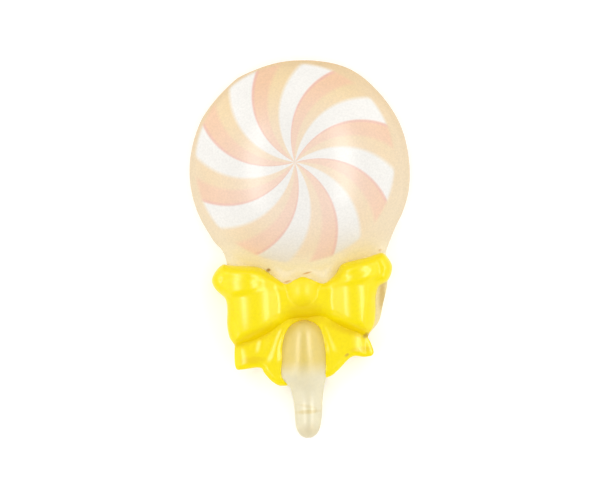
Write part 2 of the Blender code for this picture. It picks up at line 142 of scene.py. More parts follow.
# The inks are deeper further out and towards the head's top, each from where to where and by how much,
# and duller towards the neck. The paler middle is a painted reflection of the light overhead, and the
# deeper top is painted shade
DEEPER_OUT = (4.0, 10.0, 0.0, 0.6)
DEEPER_UP = (1.0, 10.0, 0.0, 0.45)
DULLER_DOWN = (-4.5, -9.5)
# Where the dome's cream turns into the bare rim's, and the height range of the bare cream's colours,
# which are painted lighter towards the neck and darker towards the top as light and shade
DOME_TO_RIM = (8.4, 10.6)
BARE_RANGE = (-12.0, 12.0)
# Print and stains end between these heights above the plain back
PLAIN_BACK = (0.02, 0.2)
# The print's gloss gives way to the bare resin's down the neck: from where to where, and from which
# roughness to which
NECK_DULLNESS = (-8.5, -10.5, 0.27, 0.6)

# The bow, placed by its knot and leaning a little to the left of the charm's own line
KNOT_PLACE = (-0.15, -12.0)
BOW_LEAN = 1.4
KNOT_RADIUS = 1.6
KNOT_STEEPEST = 0.9
# Its upper part, the loops and the knot between them, goes round in one line
LEFT_LOOP = (
    (-0.85, 1.1), (-1.6, 0.8), (-2.65, 1.5), (-3.5, 2.2), (-4.6, 2.7), (-7.1, 2.95), (-7.7, 3.1),
    (-8.4, 2.6), (-8.96, 1.6), (-8.6, 0.6), (-7.75, -0.3), (-7.58, -1.3), (-7.68, -3.0), (-7.5, -4.25),
    (-7.05, -5.05),
)
HEM = (
    (-5.9, -4.9), (-4.6, -4.5), (-3.3, -3.9), (-2.4, -3.35), (-1.5, -2.85), (-0.6, -2.75), (0.3, -2.8),
    (1.2, -2.65), (2.1, -2.8), (3.0, -3.4), (3.75, -3.8), (5.0, -4.35),
)
RIGHT_LOOP = (
    (6.3, -4.75), (6.95, -3.8), (7.2, -2.4), (7.3, -0.9), (7.7, 0.1), (8.6, 0.6), (9.1, 1.95),
    (8.4, 3.25), (7.7, 3.3), (6.6, 3.0), (4.2, 2.5), (3.6, 1.75), (2.95, 1.1), (2.1, 0.65), (1.0, 1.1),
    (0.1, 1.42),
)
# Each loop is a rolled ribbon. How far out the crest of its upper and of its lower roll is, and the
# radii that they are rolled to
LEFT_ROLLS = ((5.25, 4.2), (4.8, 3.67))
RIGHT_ROLLS = ((5.4, 3.3), (5.1, 2.7))
LOOP_CREST = 4.74
UPPER_ROLL_CREST = 4.98
LOOP_ROOT = 3.95
ROOT_FILLET = 0.1
# How steep a roll gets on its way to the knot and on its way out
STEEPEST_IN = 0.45
STEEPEST_OUT = 1.0
# How the loops fall off towards their upper and lower edges: from what height on the bow, and how
# round
UPPER_BEND = (1.2, 9.0)
LOWER_BEND = (-1.1, 20.0)
# The fold between the rolls: how far out, at what height on the bow, and how marked
LEFT_FOLD = ((0.0, 0.7, 0.2), (4.0, 0.4, 0.2), (5.2, 0.1, 1.0), (7.6, -0.2, 1.0), (9.2, -0.5, 1.0))
RIGHT_FOLD = ((0.0, 0.3, 0.4), (3.3, 0.3, 0.8), (5.0, 0.4, 1.0), (7.0, 0.8, 1.0), (9.2, 1.3, 1.0))
FOLD_BLEND = 0.9
# A shallow groove runs below the upper lip of each loop
LOOP_GROOVES = (
    ((-8.6, 1.6), (-7.32, 1.7), (-5.43, 1.47), (-3.5, 1.12), (-2.2, 0.4)),
    ((2.6, 0.3), (4.46, 1.3), (7.2, 1.85)),
)
GROOVE_DEPTH = 0.1
GROOVE_WIDTH = 0.3
GROOVE_FADE = 0.8
# How wide the loops' rounded edges are, and the hem's below this height on the bow, over this length
LOOP_SHOULDER = 0.9
HEM_SHOULDER = 1.25
HEM_START = -1.6
HEM_BLEND = 1.6
TAIL_SHOULDER = 0.7
# The tails' soft folds: each is a line on the bow, from top to bottom, where the ribbon steps down
# outwards, and how wide and how deep the step is. It fades out at its top and its end over these
# lengths
TAIL_FOLDS = (
    (((-2.2, -3.6), (-2.95, -5.0), (-3.75, -6.9)), 0.38, 0.13),
    (((-4.5, -4.6), (-4.7, -5.3), (-4.85, -6.0)), 0.36, 0.13),
    (((1.85, -3.5), (2.6, -5.36), (3.0, -6.3)), 0.42, 0.105),
)
TAIL_FOLD_TOP = 0.6
TAIL_FOLD_END = 0.9
# How many of its widths a step needs to fade away beside its line
TAIL_FOLD_REACH = 3.5
# Where the tails' outer parts curve down to the sides: from how far out, below what height and how
# round, and how far the curve goes
TAIL_SLOPES = ((-5.45, -5.2, 2.4), (4.2, -4.5, 3.6))
TAIL_SLOPE_REACH = 1.8
# How far the bow's edge stands above the head and the neck where it lies on them
BOW_OVER_HEAD = 0.15
BOW_OVER_NECK = 0.1
KNOT_FILLET = 0.08

# The stick: how far down it each section lies, its half-width, its middle, and the heights of its
# underside, its upright sides and its round top
STICK_TOP = (-0.1, -14.84)
STICK_SECTIONS = (
    (0.0, 0.35, 0.0, 2.0, 2.5, 2.8), (0.15, 0.75, 0.0, 2.0, 2.5, 3.2),
    (0.5, 1.37, 0.0, 2.0, 2.5, 3.65), (1.3, 1.87, -0.05, 2.0, 2.6, 4.1),
    (2.6, 2.18, -0.1, 2.0, 2.6, 4.25), (4.0, 2.26, -0.1, 2.0, 2.6, 4.1),
    (5.4, 2.3, -0.2, 2.0, 2.6, 3.8), (6.15, 2.1, -0.1, 1.9, 2.5, 3.5),
    (6.65, 1.75, 0.1, 1.3, 2.4, 3.3), (7.2, 1.6, 0.17, 0.2, 2.1, 3.1),
    (8.2, 1.45, 0.19, 0.0, 1.9, 2.9), (9.5, 1.36, 0.19, 0.0, 1.85, 2.8),
    (10.6, 1.24, 0.14, 0.0, 1.75, 2.65), (11.25, 1.02, 0.11, 0.0, 1.5, 2.4),
    (11.68, 0.66, 0.1, 0.0, 1.2, 2.0), (11.87, 0.27, 0.1, 0.0, 0.8, 1.5),
)
STICK_SIDES = 48
# How peaked its round top is, and how square its underside: lower is squarer
STICK_PEAK = 0.2
STICK_SQUARENESS = 0.35
STICK_SPACING = 0.12
STICK_OUTLINE_SPACING = 0.2

# How finely the fronts are divided, and how deep inside an edge the rings lie that keep it round
CURVE_STEPS = 12
OUTLINE_SPACING = 0.12
BODY_SPACING = 0.17
BOW_SPACING = 0.13
EDGE_RINGS = (0.03, 0.08, 0.15, 0.25)
RIM_RINGS = (0.0, 0.04, 0.1, 0.18, 0.3)
RIM_STEP = 0.7
HEM_RINGS = (0.05, 0.1, 0.17, 0.27)
# How far inside the outline a ring has to be, as a share of its depth, and any other line
RING_SHARE = 0.7
LINE_MARGIN = 0.5
# How far the filling points keep from the outline and from the lines, as shares of their spacing
CLEAR_OF_OUTLINE = 0.6
CLEAR_OF_LINES = 0.5
# What counts as one place, in a copy of a node in metres and in a flat net, and as no length at all
MERGE = 1e-6
NET_MERGE = 1e-5
NO_LENGTH = 1e-12
# The triangulation's setting that keeps what is inside the outline
NET_INSIDE = 1
# How near the outline a place is on the bow's edge, and how much a face looks up to be on the front
ON_EDGE = 0.001
LOOKS_UP = 0.01
# Faces that meet at a smaller angle are shaded smooth
SMOOTH_BELOW = 50.0

# The finishes' noise: the range that its values mostly keep to, and how detailed it is where it is
# soft or ragged
NOISE_RANGE = (0.3, 0.7)
SOFT_DETAIL = 2.0
RAGGED_DETAIL = 3.0

# Marks, some of stain and some of painted shade: middle, half-sizes, turn in degrees, colour, and how
# much of it shows. Their edges are ragged to this grain, by this much, and fade between these shares
# of a mark's size
MARK_GRAIN = 1 / 3
MARK_RAGGEDNESS = 0.5
MARK_EDGE = (0.55, 1.35)
# A mark goes this far down, so it also shows on the wall below its place
MARK_DEPTH = 1e4
CREAM_STAINS_AND_SHADE = (
    # Painted shade, with the bow's yellow bounced into it, on the right ledge's brownish wall
    ((7.8, -12.7), (0.4, 1.9), -6.0, "#D9BE84", 0.85),
    # A brown stain, specks, and darker lines where the bow's edges meet the body
    ((6.35, -16.75), (0.5, 0.35), 40.0, "#BE963C", 0.8),
    ((5.0, -18.65), (1.5, 0.3), 2.0, "#E1C882", 0.8),
    ((3.95, -18.55), (0.3, 0.2), 30.0, "#B98C46", 0.8),
    ((-4.9, -19.15), (0.8, 0.22), 5.0, "#C8AA78", 0.7),
    ((0.42, -10.2), (0.6, 0.12), 13.0, "#D99B45", 0.7),
    ((-1.6, -11.0), (0.5, 0.13), 14.0, "#D99B3C", 0.6),
    ((-3.45, -9.8), (0.28, 0.22), 0.0, "#A97814", 0.85),
    ((7.75, -8.15), (0.25, 0.18), 20.0, "#D8B070", 0.6),
)
YELLOW_STAINS_AND_SHADE = (
    # Painted shade: the hollow under the knot, under the loops' hems and along the tails' lower edges
    ((0.0, -14.2), (2.6, 1.5), 0.0, "#EDCB00", 0.75),
    ((-4.9, -16.25), (3.4, 0.75), 24.0, "#F1D000", 0.8),
    ((4.6, -15.95), (3.4, 0.75), -17.0, "#F1D000", 0.8),
    ((-5.4, -18.75), (1.6, 0.5), 3.0, "#F1D000", 0.7),
    ((5.6, -18.0), (1.6, 0.4), 3.0, "#F1D000", 0.7),
    # A darker line where the bow meets the neck, a brown stain and specks
    ((-1.6, -11.05), (0.5, 0.13), 14.0, "#D9A820", 0.6),
    ((6.05, -16.6), (0.45, 0.3), 40.0, "#BE963C", 0.75),
    ((-3.45, -9.85), (0.28, 0.22), 0.0, "#A97814", 0.85),
    ((4.1, -18.5), (0.3, 0.2), 30.0, "#C89A3C", 0.6),
)
STICK_MARKS = (
    # A darker curve across the stick, a fainter one above it, and a darker tip
    ((0.0, -24.05), (1.5, 0.28), 3.0, "#E2CF8C", 0.8),
    ((0.0, -23.5), (1.1, 0.22), -12.0, "#E6D7A2", 0.65),
    ((0.07, -26.2), (1.6, 1.2), 0.0, "#EBDDB6", 0.7),
)
# The bow is duller on its knot: between these distances from it, from the first roughness to the
# second
KNOT_DULLNESS = (1.0, 1.9, 0.41, 0.3)
# Where the stick's colour turns from the bow's yellow, painted in as the bow seen through it, to milky
MILKY_DOWN = (-18.7, -20.9)
# Real fibres are finer; this is the finest that shows
PAPER_FIBRE = 1 / 0.9
PAPER_GLOW = 0.15


# Tools for outlines and heights


def rim_radius(degrees):
    """The rim's radius at an angle; the swellings' angles run from the hidden bottom round to it."""
    degrees = (degrees + 90.0) % 360.0 - 90.0
    radius = np.full(np.shape(degrees), HEAD_RADIUS)
    for middle, swelling, width in RIM_SWELLINGS:
        radius = radius + swelling * np.exp(-(((degrees - middle) / width) ** 2))
    return radius


def head_place():
    """The head's middle in the frame, in millimetres, from the body's top and left edges."""
    low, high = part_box("body")
    degrees = np.arange(0.0, RIM_IN_VIEW, 1.0)
    angle = np.radians(degrees)
    x, y = rim_radius(degrees) * (np.cos(angle), np.sin(angle))
    return np.array([low.x / MM - x.min(), high.y / MM - y.max()])


HEAD = head_place()


def smooth_line(points, spacing, closed):
    """A Catmull-Rom curve through the points, read at about equal steps."""
    points = np.array(points, dtype=float)
    if closed:
        ring = np.vstack([points[-1], points, points[0], points[1]])
    else:
        ring = np.vstack([2 * points[0] - points[1], points, 2 * points[-1] - points[-2]])
    fine = []
    for before, start, end, after in zip(ring, ring[1:], ring[2:], ring[3:]):
        for t in np.linspace(0.0, 1.0, CURVE_STEPS, endpoint=False):
            fine.append(
                0.5 * (2 * start + (end - before) * t
                       + (2 * before - 5 * start + 4 * end - after) * t ** 2
                       + (3 * start - before - 3 * end + after) * t ** 3)
            )
    fine.append(points[0] if closed else points[-1])
    fine = np.array(fine)
    along = np.concatenate([[0.0], np.cumsum(np.hypot(*np.diff(fine[:, :2], axis=0).T))])
    steps = max(3, round(along[-1] / spacing))
    reads = np.linspace(0.0, along[-1], steps + 1)
    if closed:
        reads = reads[:-1]
    return np.column_stack([np.interp(reads, along, fine[:, axis]) for axis in range(points.shape[1])])


def distance(places, line, closed=False):
    """How far each place is from a line of points."""
    line = np.asarray(line, dtype=float)
    ends = np.roll(line, -1, axis=0) if closed else line[1:]
    starts = line if closed else line[:-1]
    way = ends - starts
    length = np.maximum((way ** 2).sum(axis=1), NO_LENGTH)
    nearest = np.full(len(places), np.inf)
    for start, along, squared in zip(starts, way, length):
        t = np.clip(((places - start) @ along) / squared, 0.0, 1.0)
        nearest = np.minimum(nearest, np.hypot(*(places - start - t[:, None] * along).T))
    return nearest


def inside(places, outline):
    """Whether each place lies inside a closed outline."""
    x, y = places.T
    crossings = np.zeros(len(places), dtype=int)
    for (x0, y0), (x1, y1) in zip(outline, np.roll(outline, -1, axis=0)):
        spans = (y0 > y) != (y1 > y)
        if spans.any():
            at = x0 + (y - y0) * (x1 - x0) / (y1 - y0 if y1 != y0 else 1.0)
            crossings += spans & (x < at)
    return crossings % 2 == 1


def depth_in(places, outline):
    """How far each place is inside a closed outline, and less than 0 outside it."""
    away = distance(places, outline, True)
    return np.where(inside(places, outline), away, -away)


def shoulder(distance_in, width):
    """0 at an edge, rising as a quarter circle to 1 at the given width from it."""
    t = np.clip(distance_in / width, 0.0, 1.0)
    return np.sqrt(1.0 - (1.0 - t) ** 2)


def smooth_step(value):
    """0 below -0.5, 1 above 0.5, and smooth between."""
    t = np.clip(value + 0.5, 0.0, 1.0)
    return t * t * (3.0 - 2.0 * t)


def soft_max(first, second, blend):
    """The higher of two surfaces, with a fillet where they meet."""
    mix = np.clip(0.5 + 0.5 * (first - second) / blend, 0.0, 1.0)
    return second + (first - second) * mix + blend * mix * (1.0 - mix)


def turned(points, degrees):
    c, s = math.cos(math.radians(degrees)), math.sin(math.radians(degrees))
    x, y = np.asarray(points, dtype=float).T
    return np.column_stack([c * x - s * y, s * x + c * y])


def from_bow(points):
    """Places given from the knot, along the bow's own line, as places on the charm."""
    return turned(points, BOW_LEAN) + KNOT_PLACE


def to_bow(places):
    """Places on the charm, as places from the knot, along the bow's own line."""
    return turned(places - np.array(KNOT_PLACE), -BOW_LEAN)


# Solids with a relief front


def inset(outline, amount):
    """The closed outline moved inwards by the amount."""
    ring = np.vstack([outline[-1], outline, outline[0]])
    along = np.gradient(ring, axis=0)
    along /= np.hypot(*along.T)[:, None]
    return (ring + amount * np.column_stack([-along[:, 1], along[:, 0]]))[1:-1]


def runs_inside(line, outline, margin):
    """The stretches of a line that lie inside an outline, clear of it by the margin."""
    keep = depth_in(line, outline) > margin
    breaks = np.flatnonzero(np.diff(keep.astype(int))) + 1
    runs = [run for run, kept in zip(np.split(line, breaks), np.split(keep, breaks)) if kept[0]]
    return [run for run in runs if len(run) > 1]


def filling(outline, lines, spacing):
    """Points on a triangular grid inside the outline, clear of it and of the lines."""
    low, high = outline.min(axis=0), outline.max(axis=0)
    columns = np.arange(low[0], high[0], spacing)
    rows = np.arange(low[1], high[1], spacing * math.sqrt(0.75))
    x, y = np.meshgrid(columns, rows)
    x = x + (np.arange(len(rows)) % 2)[:, None] * spacing / 2
    points = np.column_stack([x.ravel(), y.ravel()])
    points = points[depth_in(points, outline) > spacing * CLEAR_OF_OUTLINE]
    for line in lines:
        points = points[distance(points, line) > spacing * CLEAR_OF_LINES]
    return points


def node_outline(node, spacing):
    """The outline of a CAD node's front, from a merged copy of its mesh, read at even steps."""
    built = bmesh.new()
    built.from_mesh(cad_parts[node].data)
    bmesh.ops.remove_doubles(built, verts=built.verts, dist=MERGE)
    built.normal_update()
    unseen = [face for face in built.faces if face.normal.z < LOOKS_UP]
    bmesh.ops.delete(built, geom=unseen, context="FACES")
    following = {}
    for edge in built.edges:
        if edge.is_boundary:
            start = edge.link_loops[0].vert
            following[start] = edge.other_vert(start)
    ring = [next(iter(following))]
    while following[ring[-1]] != ring[0]:
        ring.append(following[ring[-1]])
    points = np.array([vert.co[:2] for vert in ring]) / MM
    built.free()
    low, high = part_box(node)
    line = smooth_line(points, spacing, closed=True)
    return np.clip(line, np.array(low[:2]) / MM, np.array(high[:2]) / MM) - HEAD


def as_piece(name, built):
    """An object with the mesh that was built."""
    mesh = bpy.data.meshes.new(name)
    built.to_mesh(mesh)
    built.free()
    piece = bpy.data.objects.new(name, mesh)
    bpy.context.scene.collection.objects.link(piece)
    return piece


def relief(name, outline, lines, spacing, height, foot):
    """A solid with a flat underside and an upright wall, whose finely divided front stands at the
    height of each place. The front's triangles keep to the lines."""
    rings = []
    for depth in EDGE_RINGS:
        rings.extend(runs_inside(inset(outline, depth), outline, depth * RING_SHARE))
    lines = rings + lines
    edges = [(i, (i + 1) % len(outline)) for i in range(len(outline))]
    count = len(outline)
    for line in lines:
        edges.extend((count + i, count + i + 1) for i in range(len(line) - 1))
        count += len(line)
    points = np.vstack([outline, *lines, filling(outline, lines, spacing)])
    points = [Vector(point) for point in points]
    flat, _, faces, *_ = delaunay_2d_cdt(points, edges, [], NET_INSIDE, NET_MERGE)
    places = np.array([tuple(point) for point in flat])
    built = bmesh.new()
    for (x, y), z in zip(places + HEAD, height(places)):
        built.verts.new((x * MM, y * MM, z * MM))
    built.verts.ensure_lookup_table()
    for face in faces:
        built.faces.new([built.verts[i] for i in face])
    rim = [edge for edge in built.edges if edge.is_boundary]
    for made in bmesh.ops.extrude_edge_only(built, edges=rim)["geom"]:
        if isinstance(made, bmesh.types.BMVert):
            made.co.z = foot * MM
    bmesh.ops.contextual_create(built, geom=[edge for edge in built.edges if edge.is_boundary])
    loose = [vert for vert in built.verts if not vert.link_faces]
    bmesh.ops.delete(built, geom=loose, context="VERTS")
    bmesh.ops.recalc_face_normals(built, faces=built.faces)
    return as_piece(name, built)


def finish_piece(piece, slot, material, *nodes):
    """Shades a piece smooth, gives it its material, and sets it in the frame."""
    bpy.ops.object.select_all(action="DESELECT")
    piece.select_set(True)
    bpy.context.view_layer.objects.active = piece
    bpy.ops.object.shade_smooth_by_angle(angle=math.radians(SMOOTH_BELOW))
    piece.data.materials.append(material)
    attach(piece, "root")
    if nodes:
        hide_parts(*nodes)
    return piece


# The cream casting


def neck_height(places, outline_depth):
    """The neck and the bare ledges, whose edges are slightly rounded."""
    x, y = places.T
    blend = np.clip((y - LEDGE_START) / LEDGE_BLEND + 0.5, 0.0, 1.0)
    neck = BACK_TOP + (NECK_TOP - BACK_TOP) * shoulder(outline_depth, SHOULDER_WIDTH) * blend
    return neck - LEDGE_ROUNDING * (1.0 - shoulder(outline_depth, LEDGE_ROUNDING)) * (1.0 - blend)


def head_height(places):
    """The domed head with its rounded shoulder, and 0 outside its rim."""
    x, y = places.T
    radius = np.hypot(x, y)
    in_from_rim = rim_radius(np.degrees(np.arctan2(y, x))) - radius
    dome = HEAD_APEX - DOME_RADIUS + np.sqrt(DOME_RADIUS ** 2 - np.minimum(radius, HEAD_RADIUS) ** 2)
    head = RIM_TOP + (dome - RIM_TOP) * shoulder(in_from_rim, SHOULDER_WIDTH)
    return np.where(in_from_rim < -RIM_SLACK, 0.0, head)


def make_body(bow_outline):
    """The cream casting. Its front dips out of sight under the bow, where the two are bonded."""
    outline = node_outline("body", OUTLINE_SPACING)

    def height(places):
        in_bow = depth_in(places, bow_outline)
        neck = neck_height(places, distance(places, outline, True))
        raised = smooth_step(in_bow / NECK_RISE + 1.0) * neck_zone(places)
        neck = np.maximum(neck, BACK_TOP + (NECK_FILL - BACK_TOP) * raised)
        front = soft_max(head_height(places), neck, NECK_FILLET)
        under = np.clip((in_bow - BURIED) / BURIED_DROP, 0.0, 1.0)
        return front + (BACK_TOP - front) * under

    degrees = np.arange(0.0, 360.0, RIM_STEP)
    angle = np.radians(degrees)
    rim = rim_radius(degrees)
    lines = []
    for depth in RIM_RINGS:
        ring = np.column_stack([(rim - depth) * np.cos(angle), (rim - depth) * np.sin(angle)])
        lines.extend(runs_inside(ring, outline, LINE_MARGIN))
    piece = relief("cream_casting", outline, lines, BODY_SPACING, height, 0.0)
    return finish_piece(piece, "cream_resin", cream_resin(), "body")


# The bow


def roll_drop(radius, off_crest, steepest):
    """How far a roll has dropped at a distance from its crest: round, then straight."""
    off_crest = np.abs(off_crest)
    turn = radius * np.sin(np.arctan(steepest))
    reach = np.minimum(off_crest, turn)
    return radius - np.sqrt(radius ** 2 - reach ** 2) + steepest * (off_crest - reach)


def loop_height(x, y, rolls, fold_line):
    """One loop before its edges are rounded: an upper and a lower roll, and the fold between."""
    out = np.abs(x)
    columns, folds, marks = zip(*fold_line)
    fold = np.interp(out, columns, folds)
    marked = np.interp(out, columns, marks)
    crests = (LOOP_CREST + (UPPER_ROLL_CREST - LOOP_CREST) * marked, LOOP_CREST)
    heights = []
    for (crest_out, radius), crest, (bend, roundness) in zip(rolls, crests, (UPPER_BEND, LOWER_BEND)):
        steepest = np.where(out < crest_out, STEEPEST_IN, STEEPEST_OUT)
        heights.append(crest - roll_drop(radius, out - crest_out, steepest) - (y - bend) ** 2 / roundness)
    upper, lower = heights
    return lower + (upper - lower) * smooth_step((y - fold) / FOLD_BLEND)


def groove_depth(on_bow):
    """How deep the grooves below the loops' upper lips are. They fade out at their ends."""
    depth = np.zeros(len(on_bow))
    for groove in LOOP_GROOVES:
        from_ends = np.minimum(on_bow[:, 0] - groove[0][0], groove[-1][0] - on_bow[:, 0])
        dip = np.exp(-((distance(on_bow, groove) / GROOVE_WIDTH) ** 2))
        depth = depth + GROOVE_DEPTH * dip * smooth_step(from_ends / GROOVE_FADE - 0.5)
    return depth


def upper_edge():
    """The outline of the loops and the knot between them."""
    return smooth_line(from_bow((*LEFT_LOOP, *HEM, *RIGHT_LOOP)), OUTLINE_SPACING, closed=True)


def upper_height(places):
    """The two loops and the pinched ribbon between them, with rounded edges."""
    edge = upper_edge()
    on_bow = to_bow(places)
    x, y = on_bow.T
    left = loop_height(x, y, LEFT_ROLLS, LEFT_FOLD)
    right = loop_height(x, y, RIGHT_ROLLS, RIGHT_FOLD)
    height = soft_max(np.where(x < 0.0, left, right) - groove_depth(on_bow), LOOP_ROOT, ROOT_FILLET)
    width = LOOP_SHOULDER + (HEM_SHOULDER - LOOP_SHOULDER) * smooth_step((HEM_START - y) / HEM_BLEND)
    foot = bow_edge_height(places)
    height = foot + np.maximum(height - foot, 0.0) * shoulder(distance(places, edge, True), width)
    return np.where(inside(places, edge), height, 0.0)


def bow_edge_height(places):
    """How high the bow's edge stands, just above what it lies on."""
    edge = np.maximum(BOW_WALL_TOP, head_height(places) + BOW_OVER_HEAD)
    return np.maximum(edge, BACK_TOP + (NECK_FILL + BOW_OVER_NECK - BACK_TOP) * neck_zone(places))


def neck_zone(places):
    """1 where the neck runs down to the bow, 0 away from there."""
    x, y = places.T
    return smooth_step((NECK_HALF_WIDTH - np.abs(x)) / NECK_SIDE_BLEND) * smooth_step(y - NECK_END)


def tail_height(places, outline):
    """Forked ribbon tails with narrow folds that run down and outwards."""
    x, y = to_bow(places).T
    height = np.full(len(places), TAIL_LEVEL)
    for line, width, step in TAIL_FOLDS:
        (top_x, top), *_, (_, low) = line
        fold_x = np.interp(-y, [-line_y for _, line_y in line], [line_x for line_x, _ in line])
        out = (x - fold_x) * math.copysign(1.0, top_x) / width
        ends = smooth_step((y - low) / TAIL_FOLD_END) * smooth_step((top - y) / TAIL_FOLD_TOP)
        height = height - step * np.tanh(out) * ends * np.exp(-((out / TAIL_FOLD_REACH) ** 2))
    for start, top, roundness in TAIL_SLOPES:
        out = np.clip(x * math.copysign(1.0, start) - abs(start), 0.0, TAIL_SLOPE_REACH)
        height = height - out ** 2 / (2 * roundness) * smooth_step(top - y)
    rise = shoulder(distance(places, outline, True), TAIL_SHOULDER)
    return BOW_WALL_TOP + (height - BOW_WALL_TOP) * rise


def knot_height(places):
    """The knot, a soft ball."""
    radius = np.hypot(*to_bow(places).T)
    return KNOT_CREST - roll_drop(KNOT_RADIUS, radius, KNOT_STEEPEST)


def make_bow():
    """The yellow casting. Its outline is given on, because the body dips under it."""
    outline = node_outline("bow", OUTLINE_SPACING)
    edge = upper_edge()

    def height(places):
        front = np.maximum(tail_height(places, outline), upper_height(places))
        front = soft_max(front, knot_height(places), KNOT_FILLET)
        in_stick = depth_in(places, stick_outline())
        slope = np.minimum(front, BED_LIP)
        front = slope + (front - slope) * smooth_step(-in_stick / BED_SLOPE - 0.5)
        bedded = np.clip((in_stick - BED_START) / BED_DROP, 0.0, 1.0)
        front = front + (STICK_BED - front) * bedded
        return np.where(distance(places, outline, True) < ON_EDGE, bow_edge_height(places), front)

    lines = []
    for depth in HEM_RINGS:
        lines.extend(runs_inside(inset(edge, depth), outline, LINE_MARGIN))
    piece = relief("yellow_bow", outline, lines, BOW_SPACING, height, BOW_FOOT)
    finish_piece(piece, "yellow_resin", yellow_resin(), "bow")
    return outline


# The stick


def stick_outline():
    """The stick's outline from above."""
    left = [(middle - half, -down) for down, half, middle, *_ in STICK_SECTIONS]
    right = [(middle + half, -down) for down, half, middle, *_ in STICK_SECTIONS]
    points = np.array(left + right[::-1]) + np.array(STICK_TOP)
    return smooth_line(points, STICK_OUTLINE_SPACING, closed=True)


def make_stick():
    """The milky stick: a D section drawn out along its length."""
    # smooth_line measures its steps along the first two columns, so the second stays 0
    sections = [(down, 0.0, *section) for down, *section in STICK_SECTIONS]
    built = bmesh.new()
    rings = []
    for down, _, half, middle, under, side, top in smooth_line(sections, STICK_SPACING, closed=False):
        ring = []
        for step in range(STICK_SIDES):
            angle = 2 * math.pi * step / STICK_SIDES
            across, rise = math.cos(angle), math.sin(angle)
            bell = (1.0 + math.cos(math.pi * across)) / 2
            peaked = (1.0 - STICK_PEAK) * rise + STICK_PEAK * bell
            hanging = abs(rise) ** STICK_SQUARENESS
            z = side + (top - side) * peaked if rise >= 0 else side - (side - under) * hanging
            place = (HEAD[0] + STICK_TOP[0] + middle + half * across, HEAD[1] + STICK_TOP[1] - down, z)
            ring.append(built.verts.new(Vector(place) * MM))
        rings.append(ring)
    for ring, following in zip(rings, rings[1:]):
        for i in range(len(ring)):
            built.faces.new((ring[i - 1], ring[i], following[i], following[i - 1]))
    built.faces.new(rings[0])
    built.faces.new(rings[-1])
    bmesh.ops.recalc_face_normals(built, faces=built.faces)
    piece = as_piece("milky_stick", built)
    return finish_piece(piece, "milky_resin", milky_resin(), "stick")


# The materials


def linear(colour):
    """An sRGB hex colour as linear red, green, blue and alpha."""
    values = [int(colour[i:i + 2], 16) / 255.0 for i in (1, 3, 5)]
    return (*[v / 12.92 if v <= 0.04045 else ((v + 0.055) / 1.055) ** 2.4 for v in values], 1.0)


def add(tree, kind, inputs=(), output=0, stops=(), **settings):
    """Adds a node with its settings and gives one of its outputs. The inputs are given in order or by
    name, each as another node's output, a colour or a value."""
    made = tree.nodes.new("ShaderNode" + kind)
    for name, value in settings.items():
        setattr(made, name, value)
    for name, value in inputs.items() if isinstance(inputs, dict) else enumerate(inputs):
        if isinstance(value, bpy.types.NodeSocket):
            tree.links.new(value, made.inputs[name])
        else:
            made.inputs[name].default_value = linear(value) if isinstance(value, str) else value
    if stops:
        ramp = made.color_ramp.elements
        while len(ramp) < len(stops):
            ramp.new(1.0)
        for element, (position, colour) in zip(ramp, stops):
            element.position = position
            element.color = linear(colour)
    return made.outputs[output]


def new_material(name):
    made = bpy.data.materials.new(name)
    made.use_nodes = True
    tree = made.node_tree
    return made, tree, tree.nodes["Principled BSDF"]


def charm_place(tree):
    """Millimetres from the head's middle, in the charm's own coordinates."""
    place = add(tree, "TexCoord", output="Object")
    return add(tree, "Mapping", {"Vector": place, "Location": (-HEAD[0], -HEAD[1], 0.0),
                                 "Scale": (1 / MM, 1 / MM, 1 / MM)})


def way_from(tree, place, middle):
    """The way to each place from a middle, whatever its height, and how long it is."""
    way = add(tree, "Mapping", {"Vector": place, "Location": (-middle[0], -middle[1], 0.0),
                                "Scale": (1.0, 1.0, 0.0)})
    return way, add(tree, "VectorMath", (way,), "Value", operation="LENGTH")


def clouded(tree, place, colour, cell, amount, middle=1.0):
    """The colour made a little lighter and darker in soft cells of a size in millimetres, round a
    middle brightness."""
    noise = add(tree, "TexNoise", {"Vector": place, "Scale": 1 / cell, "Detail": SOFT_DETAIL})
    level = add(tree, "MapRange", (noise, *NOISE_RANGE, middle - amount, middle + amount))
    return add(tree, "VectorMath", {0: colour, "Scale": level}, operation="SCALE")


def stained_and_shaded(tree, place, colour, stains_and_shade):
    """The colour with oval marks that have uneven edges: stain, and painted shade. A mark is its
    middle, its half-sizes and turn, its colour and how much of it shows."""
    ragged = add(tree, "TexNoise", {"Vector": place, "Scale": 1 / MARK_GRAIN, "Detail": RAGGED_DETAIL})
    for (x, y), (half_x, half_y), turn, tint, strength in stains_and_shade:
        in_spot = add(tree, "Mapping", {
            "Vector": place, "Location": (x, y, 0.0), "Rotation": (0.0, 0.0, math.radians(turn)),
            "Scale": (half_x, half_y, MARK_DEPTH)}, vector_type="TEXTURE")
        away = add(tree, "VectorMath", (in_spot,), "Value", operation="LENGTH")
        away = add(tree, "Math", (ragged, MARK_RAGGEDNESS, away), operation="MULTIPLY_ADD")
        share = add(tree, "MapRange", (away, *MARK_EDGE, strength, 0.0), interpolation_type="SMOOTHSTEP")
        colour = add(tree, "Mix", {"Factor": share, "A": colour, "B": tint}, "Result", data_type="RGBA")
    return colour


def rippled(tree, place, shader, cell, height):
    """The faint unevenness that a mould leaves, which keeps the highlights from being perfect. Its
    cells and its height are in millimetres."""
    noise = add(tree, "TexNoise", {"Vector": place, "Scale": 1 / cell, "Detail": SOFT_DETAIL})
    bump = add(tree, "Bump", {"Height": noise, "Distance": height * MM, "Strength": 1.0})
    tree.links.new(bump, shader.inputs["Normal"])


